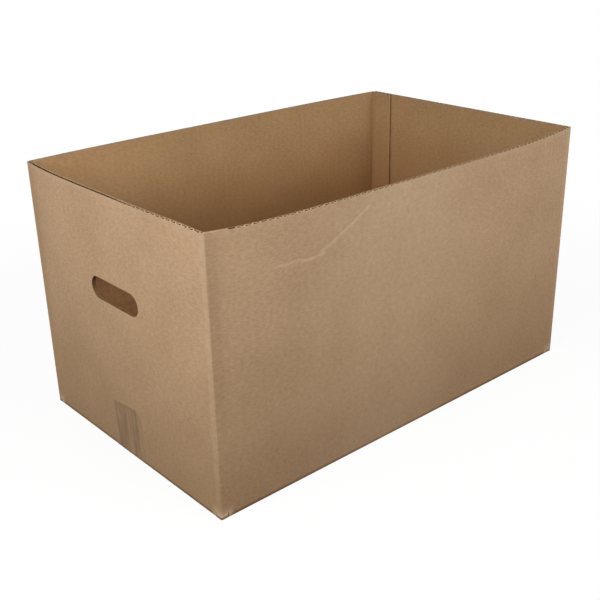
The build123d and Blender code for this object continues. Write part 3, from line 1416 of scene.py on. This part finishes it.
    def build(self, materials: dict[BoardFace, bpy.types.Material]) -> bpy.types.Object:
        """Builds the board's mesh and dresses it.

        Args:
            materials: The finish of each face of the board.

        Returns:
            The board's object.
        """
        sheet = self.sheet
        flat, triangles = self.triangulate()
        edges, inward, groove, pressed, closed = self.boundary(flat, triangles)
        along = groove == self.side_groove
        rim = np.unique(edges)
        ring_number = np.full(len(flat), -1)
        ring_number[rim] = np.arange(len(rim))
        count, rings = len(flat), len(rim)
        level = flat[rim]
        sunk = level + inward[rim] * groove[rim][:, None]
        outer, inner = self.outer_lip, sheet.thickness - self.inner_lip
        layers = [(level, outer), (sunk, outer), (sunk, inner), (level, inner)]
        blocks = [(flat, 0.0), (flat, sheet.thickness), *layers]
        points = np.vstack([sheet.place(part[:, 0], part[:, 1], depth) for part, depth in blocks])
        spread = np.vstack([part for part, _ in blocks])
        faces = [tuple(row) for row in triangles[:, ::-1].tolist()]
        kinds = [BoardFace.OUTER.value] * len(faces)
        faces += [tuple(row) for row in (triangles + count).tolist()]
        kinds += [BoardFace.INNER.value] * len(triangles)
        numbers = np.arange(count)
        walls = [2 * count + layer * rings + ring_number for layer in range(len(layers))]
        profile = [row.tolist() for row in (numbers, *walls, numbers + count)]
        for first, second in edges.tolist():
            for layer, (near, far) in enumerate(zip(profile[:-1], profile[1:])):
                faces.append((near[first], near[second], far[second], far[first]))
                sunken = 0 < layer < len(layers)
                # Sunken groove faces take the near-black painted shade.
                kind = BoardFace.FLUTE_HOLLOW if sunken else BoardFace.RAW_EDGE
                if closed[first] and closed[second]:
                    kind = BoardFace.OUTER
                elif pressed[first]:
                    kind = BoardFace.PRESSED_EDGE
                # Shallow side grooves take the dark brown painted shade.
                elif sunken and along[first] and along[second]:
                    kind = BoardFace.SIDE_CUT
                kinds.append(kind.value)
        piece = make_piece("carton_board", points, faces)
        mesh = piece.data
        for kind in BoardFace:
            mesh.materials.append(materials[kind])
        mesh.polygons.foreach_set("material_index", kinds)
        add_flat_map(mesh, spread)
        marks = BoardMarks(sheet)
        # Pale mask: scuffs and painted light. Dark mask: painted shade.
        wear_and_painted_light, painted_shade = np.zeros((2, len(spread)))
        wear_and_painted_light[:count], painted_shade[:count] = marks.outer(flat)
        wear_and_painted_light[count : 2 * count], painted_shade[count : 2 * count] = marks.inner(flat)
        add_mask(mesh, "wear_and_painted_light", wear_and_painted_light)
        add_mask(mesh, "painted_shade", painted_shade)
        shade_smooth(mesh, self.sharp_angle)
        mesh.validate()
        return piece


@dataclass(frozen=True)
class FluteRun:
    """One stretch of raw edge that shows the flutes.

    It has its ends along the strip, the ribbon's depth, how far below the rim the edge lies, and the sign
    of the way into the board.
    """

    start: float
    end: float
    depth: float
    edge: float
    into: int


@dataclass
class FlutedMedium:
    """The fluted sheet between the liners, where the raw edges show it."""

    carton: Carton
    pitch: float = FLUTE_PITCH
    thickness: float = 0.3
    fray: float = 1.5
    steps_per_flute: float = 14.0
    merge: float = 0.001
    end_gap: float = 0.6
    sunk: float = 0.15
    left_press: float = 0.65
    left_press_shares: tuple[float, ...] = (0.0, 0.03, 0.55, 0.75)
    cut_facing: float = -0.7
    sharp_angle: float = 50.0

    def pressed_in(self, along: Array) -> Array:
        """Finds how far the medium is pressed to the inner liner, on the far part of the left wall's rim.

        Args:
            along: Places along the strip.

        Returns:
            The share of its height that it loses at each place.
        """
        left = self.carton.sheet.panel("left_wall")
        share = (along - left.flat_start) / left.length
        return self.left_press * np.interp(share, self.left_press_shares, (0.0, 1.0, 1.0, 0.0))

    def runs(self) -> list[FluteRun]:
        """Lists the stretches of edge that show the flutes.

        Returns:
            The rim on both sides of its closed run, then the flaps' free edges.
        """
        carton, sheet = self.carton, self.carton.sheet
        end = sheet.panels[-1].flat_end
        before, after = (sheet.near_corner + past for past in carton.closed_run)
        rim = ((self.end_gap, before), (after, end - self.end_gap))
        runs = [FluteRun(*ends, carton.rim_groove, 0.0, 1) for ends in rim]
        for panel in sheet.panels[1:]:
            low, high = sheet.flap_span(panel)
            inset = panel.flap.relief + carton.cut_inset
            free = sheet.flap_end(panel.flap)
            runs.append(FluteRun(low + inset, high - inset, carton.cut_groove, free, -1))
        return runs

    def ribbon_tree(self) -> bpy.types.NodeTree:
        """Builds the node tree of one straight fluted ribbon.

        Returns:
            The tree, with the ribbon's sizes as named inputs.
        """
        sizes = ("Run", "Depth", "Pitch", "Flute Height", "Thickness", "Fray", "Steps Per Flute")
        inputs = {**dict.fromkeys(sizes, "Float"), "Material": "Material"}
        bench = new_group("GeometryNodeTree", "flute_ribbon", inputs, {"Mesh": "Geometry"})
        given = bench.add("NodeGroupInput").outputs
        flutes = bench.math("DIVIDE", given["Run"], given["Pitch"])
        columns = bench.math("MULTIPLY", flutes, given["Steps Per Flute"])
        grid = bench.add(
            "GeometryNodeMeshGrid",
            {"Size X": given["Run"], "Size Y": given["Depth"], "Vertices X": columns, "Vertices Y": 2},
        ).outputs[0]
        place = bench.add("ShaderNodeSeparateXYZ", {0: bench.add("GeometryNodeInputPosition").outputs[0]})
        halfway = bench.math("MULTIPLY", given["Fray"], 0.5)
        waves = []
        for operation in ("SUBTRACT", "ADD"):
            turns = bench.math("DIVIDE", bench.math(operation, place.outputs[0], halfway), given["Pitch"])
            waves.append(bench.math("SINE", bench.math("MULTIPLY", turns, 2 * math.pi)))
        swing = bench.math("MULTIPLY", given["Flute Height"], 0.5)
        low = bench.math("MULTIPLY", bench.math("MINIMUM", *waves), swing)
        high = bench.math("MULTIPLY", bench.math("MAXIMUM", *waves), swing)
        offset = bench.add("ShaderNodeCombineXYZ", {2: low}).outputs[0]
        waved = bench.add("GeometryNodeSetPosition", {"Geometry": grid, "Offset": offset}).outputs[0]
        body = bench.math("ADD", bench.math("SUBTRACT", high, low), given["Thickness"])
        thick = bench.add(
            "GeometryNodeExtrudeMesh",
            {"Mesh": waved, "Offset": (0.0, 0.0, 1.0), "Offset Scale": body, "Individual": False},
            mode="FACES",
        ).outputs[0]
        underside = bench.add("GeometryNodeFlipFaces", {0: waved}).outputs[0]
        joined = bench.add("GeometryNodeJoinGeometry")
        bench.tree.links.new(thick, joined.inputs[0])
        bench.tree.links.new(underside, joined.inputs[0])
        closeness = {0: joined.outputs[0], "Distance": self.merge}
        merged = bench.add("GeometryNodeMergeByDistance", closeness).outputs[0]
        real = bench.add("GeometryNodeRealizeInstances", {0: merged}).outputs[0]
        dressed = bench.add("GeometryNodeSetMaterial", {0: real, "Material": given["Material"]}).outputs[0]
        bench.add("NodeGroupOutput", {0: dressed})
        return bench.tree

    def ribbon(self, tree: bpy.types.NodeTree, run: FluteRun, material: bpy.types.Material) -> bpy.types.Mesh:
        """Makes one straight ribbon as a plain mesh, in millimetres.

        Args:
            tree: The ribbon's node tree.
            run: The stretch of edge that it is for.
            material: The medium's finish.

        Returns:
            The ribbon's mesh.
        """
        carrier = bpy.data.objects.new("ribbon", bpy.data.meshes.new("ribbon"))
        bpy.context.scene.collection.objects.link(carrier)
        modifier = carrier.modifiers.new("flutes", "NODES")
        modifier.node_group = tree
        board = self.carton
        sizes = {
            "Run": run.end - run.start,
            "Depth": run.depth,
            "Pitch": self.pitch,
            "Flute Height": board.sheet.thickness - board.outer_lip - board.inner_lip - self.thickness,
            "Thickness": self.thickness,
            "Fray": self.fray,
            "Steps Per Flute": self.steps_per_flute,
            "Material": material,
        }
        for socket in tree.interface.items_tree:
            if socket.in_out == "INPUT":
                modifier[socket.identifier] = sizes[socket.name]
        shown = carrier.evaluated_get(bpy.context.evaluated_depsgraph_get())
        mesh = bpy.data.meshes.new_from_object(shown)
        bpy.data.objects.remove(carrier)
        return mesh

    def build(self, material: bpy.types.Material, cut_edge: bpy.types.Material) -> bpy.types.Object:
        """Makes the ribbons, folds them into the raw edges and joins them into one mesh.

        Args:
            material: The near-black painted shade on the flutes' sides.
            cut_edge: The finish of the medium's cut edge.

        Returns:
            The medium's object.
        """
        sheet = self.carton.sheet
        tree = self.ribbon_tree()
        outer, inner = self.carton.outer_lip, sheet.thickness - self.carton.inner_lip
        points, spread, faces, kinds = [], [], [], []
        offset = 0
        for run in self.runs():
            mesh = self.ribbon(tree, run, material)
            local = np.zeros(len(mesh.vertices) * 3, np.float32)
            mesh.vertices.foreach_get("co", local)
            local = local.reshape(-1, 3).astype(float)
            along = (run.start + run.end) / 2 + local[:, 0]
            down = run.edge + run.into * (local[:, 1] + run.depth / 2 + self.sunk)
            depth = (outer + inner) / 2 + local[:, 2] - self.thickness / 2
            if run.into > 0:
                depth += (inner - depth) * self.pressed_in(along)
            points.append(sheet.place(along, down, depth))
            spread.append(np.stack([along, down], -1))
            faces.extend(tuple(corner + offset for corner in face.vertices) for face in mesh.polygons)
            kinds.extend(int(face.normal.y < self.cut_facing) for face in mesh.polygons)
            offset += len(local)
            bpy.data.meshes.remove(mesh)
        piece = make_piece("fluted_medium", np.vstack(points), faces)
        piece.data.materials.append(material)
        piece.data.materials.append(cut_edge)
        piece.data.polygons.foreach_set("material_index", kinds)
        flat = np.vstack(spread)
        add_flat_map(piece.data, flat)
        for mask in ("wear_and_painted_light", "painted_shade"):
            add_mask(piece.data, mask, np.zeros(len(flat)))
        shade_smooth(piece.data, self.sharp_angle)
        return piece


@dataclass
class SealingTape:
    """The strip of tape under the bottom seam, with a torn leg up each end wall."""

    sheet: FoldedSheet
    width: float = 66.0
    film: float = 0.12
    seat: float = 0.05
    leg: float = 70.0
    tear_rise: float = 6.0
    corner_tear: float = 11.0
    # Painted shade: how far up from the floor the tape darkens.
    foot_painted_shade: float = 2.6
    jag: float = 0.5
    jag_drop: float = 0.4
    jag_wave: float = 9.0
    jag_seed: int = 40
    blend_rise: float = 8.0
    columns: int = 45
    seam_rows: int = 20
    turn_rows: int = 9
    leg_rows: int = 30
    sharp_angle: float = 40.0

    def torn_top(self, across: Array, side: Side) -> Array:
        """The height of a leg's torn end.

        Args:
            across: Places across the tape, as Y.
            side: The end wall.

        Returns:
            The height at each place.
        """
        slant = self.leg + self.tear_rise * (0.5 - across / self.width)
        corner = self.leg + self.tear_rise - self.corner_tear + across + self.width / 2
        jag = self.jag * smooth_noise(across, self.jag_wave, self.jag_seed + side.value) - self.jag_drop
        return np.minimum(slant, corner) + jag

    def half_path(self, across: float, top: float, side: Side) -> Array:
        """The path of one lengthwise line of the tape, from under the seam to the top of a leg.

        Args:
            across: The line's place across the tape, as Y.
            top: The height of the leg's end there.
            side: The end wall.

        Returns:
            Rows of reach, height, and the outward way in reach and height.
        """
        sheet = self.sheet
        centre = (sheet.length / 2 - sheet.outer_radius, sheet.end_fold_underside + sheet.outer_radius)
        radius = sheet.outer_radius + self.seat
        seam = np.linspace(0, centre[0], self.seam_rows)
        rows = [(reach, sheet.long_underside, 0.0, -1.0) for reach in seam]
        for angle in np.linspace(-math.pi / 2, 0, self.turn_rows)[1:]:
            way = (math.cos(angle), math.sin(angle))
            rows.append((centre[0] + radius * way[0], centre[1] + radius * way[1], *way))
        panel = sheet.panel(side.wall)
        run = panel.flat_start + (across - panel.start[1]) * panel.heading[1]
        heights = np.linspace(centre[1], top, self.leg_rows + 1)[1:]
        wall = sheet.place(np.full(len(heights), run), sheet.height - heights, -self.seat) / METRES
        blend = np.clip((heights - centre[1]) / self.blend_rise, 0, 1)
        reach = (sheet.length / 2 + self.seat) * (1 - blend) + np.abs(wall[:, 0]) * blend
        rows.extend((float(r), float(h), 1.0, 0.0) for r, h in zip(reach, heights))
        return np.array(rows)

    def build(self, material: bpy.types.Material) -> bpy.types.Object:
        """Builds the tape's mesh and dresses it.

        Args:
            material: The tape's finish.

        Returns:
            The tape's object.
        """
        across = np.linspace(-self.width / 2, self.width / 2, self.columns)
        tops = {side: self.torn_top(across, side) for side in Side}
        sticky, outer, spread = [], [], []
        for column, place in enumerate(across):
            left = self.half_path(place, tops[Side.LEFT][column], Side.LEFT)[:0:-1]
            right = self.half_path(place, tops[Side.RIGHT][column], Side.RIGHT)
            left = left * np.array([-1, 1, -1, 1])
            path = np.vstack([left, right])
            steps = np.hypot(np.diff(path[:, 0]), np.diff(path[:, 1]))
            length = np.concatenate([[0], np.cumsum(steps)])
            here = np.full(len(path), place)
            sticky.append(np.column_stack([path[:, 0], here, path[:, 1]]))
            outward = np.column_stack([path[:, 2], np.zeros(len(path)), path[:, 3]])
            outer.append(sticky[-1] + self.film * outward)
            spread.append(np.column_stack([here, length]))
        rows = len(sticky[0])
        count = rows * self.columns
        points = np.vstack([*outer, *sticky]) * METRES
        faces = []
        for column in range(self.columns - 1):
            for row in range(rows - 1):
                a, b = column * rows + row, column * rows + row + 1
                c, d = b + rows, a + rows
                faces.append((a, b, c, d))
                faces.append((count + d, count + c, count + b, count + a))
        rim = [column * rows for column in range(self.columns)]
        rim += [(self.columns - 1) * rows + row for row in range(1, rows)]
        rim += [column * rows + rows - 1 for column in range(self.columns - 2, -1, -1)]
        rim += list(range(rows - 2, 0, -1))
        for first, second in zip(rim, rim[1:] + rim[:1]):
            faces.append((first, second, count + second, count + first))
        piece = make_piece("seam_tape", points, faces)
        piece.data.materials.append(material)
        add_flat_map(piece.data, np.vstack([*spread, *spread]))
        # Painted shade: the tape darkens towards the floor.
        add_mask(piece.data, "painted_shade", np.exp(-((points[:, 2] / METRES / self.foot_painted_shade) ** 2)))
        shade_smooth(piece.data, self.sharp_angle)
        return piece


@dataclass(frozen=True)
class SoftLight:
    """A square studio lamp that faces a point."""

    name: str
    place: tuple[float, float, float]
    target: tuple[float, float, float]
    size: float
    power: float
    colour: Colour = (1.0, 1.0, 1.0)

    def build(self) -> None:
        """Adds the lamp to the scene."""
        lamp = bpy.data.lights.new(self.name, "AREA")
        lamp.shape = "SQUARE"
        lamp.size = self.size
        lamp.energy = self.power
        lamp.color = self.colour
        holder = bpy.data.objects.new(self.name, lamp)
        holder.location = self.place
        way = Vector(self.target) - Vector(self.place)
        holder.rotation_euler = way.to_track_quat("-Z", "Y").to_euler()
        holder.visible_camera = False
        bpy.context.scene.collection.objects.link(holder)


@dataclass
class Studio:
    """The camera at the photograph's angle, the soft lights, and the pale floor."""

    camera_place: tuple[float, float, float] = (-0.83069, -0.93569, 0.66245)
    azimuth: float = -40.6962
    elevation: float = 23.3532
    roll: float = -1.3019
    lens: float = 56.3464
    sensor: float = 36.0
    clip: tuple[float, float] = (0.01, 200.0)
    floor_size: float = 40.0
    floor_level: float = -0.0006
    floor_colour: Colour = (0.12, 0.075, 0.04)
    floor_pale: Colour = (0.95, 0.95, 0.95)
    floor_glow: float = 0.93
    shadow_reach: tuple[float, float] = (0.55, 1.1)
    ambient: float = 0.03
    lights: tuple[SoftLight, ...] = (
        SoftLight("left_light", (-1.5, -0.3, 1.0), (0.0, 0.0, 0.2), 0.9, 22.0),
        SoftLight("left_high_light", (-1.15, -0.15, 1.5), (0.0, 0.0, 0.2), 0.9, 4.0),
        SoftLight("front_light", (0.25, -1.6, 1.0), (0.0, 0.0, 0.2), 0.9, 20.5),
        SoftLight("right_light", (2.6, -2.4, 2.0), (0.0, 0.0, 0.2), 1.6, 15.0),
        SoftLight("back_low_light", (0.2, 2.0, 0.32), (0.0, 0.0, 0.16), 0.6, 16.0),
        SoftLight("right_low_light", (2.2, 0.2, 0.32), (0.0, 0.0, 0.16), 0.6, 14.0),
    )

    def build_camera(self) -> None:
        """Sets the camera where the photograph was taken from."""
        turn, tilt, roll = (math.radians(angle) for angle in (self.azimuth, self.elevation, self.roll))
        back = Vector((math.sin(turn) * math.cos(tilt), -math.cos(turn) * math.cos(tilt), math.sin(tilt)))
        right = Vector((0, 0, 1)).cross(back).normalized()
        up = back.cross(right)
        rolled_right = right * math.cos(roll) + up * math.sin(roll)
        rolled_up = up * math.cos(roll) - right * math.sin(roll)
        data = bpy.data.cameras.new("camera")
        data.sensor_fit = "HORIZONTAL"
        data.sensor_width = self.sensor
        data.lens = self.lens
        data.clip_start, data.clip_end = self.clip
        camera = bpy.data.objects.new("camera", data)
        turned = Matrix((rolled_right, rolled_up, back)).transposed().to_4x4()
        camera.matrix_world = Matrix.Translation(self.camera_place) @ turned
        bpy.context.scene.collection.objects.link(camera)
        bpy.context.scene.camera = camera

    @staticmethod
    def seen(bench: NodeBench) -> bpy.types.NodeSocket:
        """Tells the camera's view from the light that falls on the box.

        Args:
            bench: The bench of the tree that asks.

        Returns:
            A socket that is 1 for what is seen directly, in a reflection or through a film.
        """
        path = bench.add("ShaderNodeLightPath").outputs
        seen = bench.math("MAXIMUM", path["Is Camera Ray"], path["Is Glossy Ray"])
        return bench.math("MAXIMUM", seen, path["Is Transmission Ray"])

    def build_floor(self) -> bpy.types.Object:
        """Builds the pale floor, which looks white to the camera and keeps a soft shadow.

        Returns:
            The floor's object.
        """
        half = self.floor_size / 2
        corners = np.array([(-half, -half), (half, -half), (half, half), (-half, half)])
        points = np.column_stack([corners, np.full(4, self.floor_level)])
        floor = make_piece("floor", points, [(0, 1, 2, 3)])
        made, bench = new_material("pale_floor")
        seen = self.seen(bench)
        tint = bench.mix(seen, opaque(self.floor_colour), opaque(self.floor_pale))
        matt = bench.add("ShaderNodeBsdfDiffuse", {"Color": tint})
        glow = bench.add("ShaderNodeEmission", {"Color": WHITE, "Strength": 1.0})
        place = bench.add("ShaderNodeTexCoord").outputs["Object"]
        gone = bench.add("ShaderNodeVectorMath", {0: place}, operation="LENGTH").outputs["Value"]
        near, far = self.shadow_reach
        spread = {"Value": gone, "From Min": near, "From Max": far, "To Min": self.floor_glow, "To Max": 1.0}
        glowing = bench.add("ShaderNodeMapRange", spread, clamp=True).outputs[0]
        share = bench.math("MULTIPLY", seen, glowing)
        mixed = bench.add("ShaderNodeMixShader", {0: share, 1: matt.outputs[0], 2: glow.outputs[0]})
        bench.add("ShaderNodeOutputMaterial", {"Surface": mixed.outputs[0]})
        floor.data.materials.append(made)
        return floor

    def build_world(self) -> None:
        """Builds the white surround: white to the camera, and a soft even light on the box."""
        world = bpy.data.worlds.new("studio")
        world.use_nodes = True
        bench = NodeBench(world.node_tree)
        seen = self.seen(bench)
        fill = bench.add("ShaderNodeBackground", {"Color": WHITE, "Strength": self.ambient})
        white = bench.add("ShaderNodeBackground", {"Color": WHITE, "Strength": 1.0})
        mixed = bench.add("ShaderNodeMixShader", {0: seen, 1: fill.outputs[0], 2: white.outputs[0]})
        bench.add("ShaderNodeOutputWorld", {"Surface": mixed.outputs[0]})
        bpy.context.scene.world = world

    def build(self) -> None:
        """Builds the whole studio."""
        self.build_camera()
        for light in self.lights:
            light.build()
        self.build_world()
        self.build_floor()
        bpy.context.scene.view_settings.view_transform = "Standard"


def main() -> None:
    """Builds the box and its studio, in order."""
    logging.basicConfig(level=logging.INFO)
    groups = PaperGroups()
    finishes = {face: finish.material(groups) for face, finish in BOARD_FINISHES.items()}
    sheet = FoldedSheet()
    carton = Carton(sheet, HandHole())
    board = carton.build(finishes)
    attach(board, "root")
    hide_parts("carton")
    log.info("%s: %d faces", board.name, len(board.data.polygons))
    flutes = FlutedMedium(carton).build(finishes[BoardFace.FLUTE_HOLLOW], MEDIUM_EDGE.material(groups))
    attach(flutes, "root")
    log.info("%s: %d faces", flutes.name, len(flutes.data.polygons))
    tape = SealingTape(sheet).build(TapeFinish().material())
    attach(tape, "root")
    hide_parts("sealing_tape")
    log.info("%s: %d faces", tape.name, len(tape.data.polygons))
    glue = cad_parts["joint_glue"]
    glue.data.materials.clear()
    glue.data.materials.append(GlueFinish().material())
    log.info("%s: kept from the solid model", glue.name)
    Studio().build()


if __name__ == "__main__":
    main()
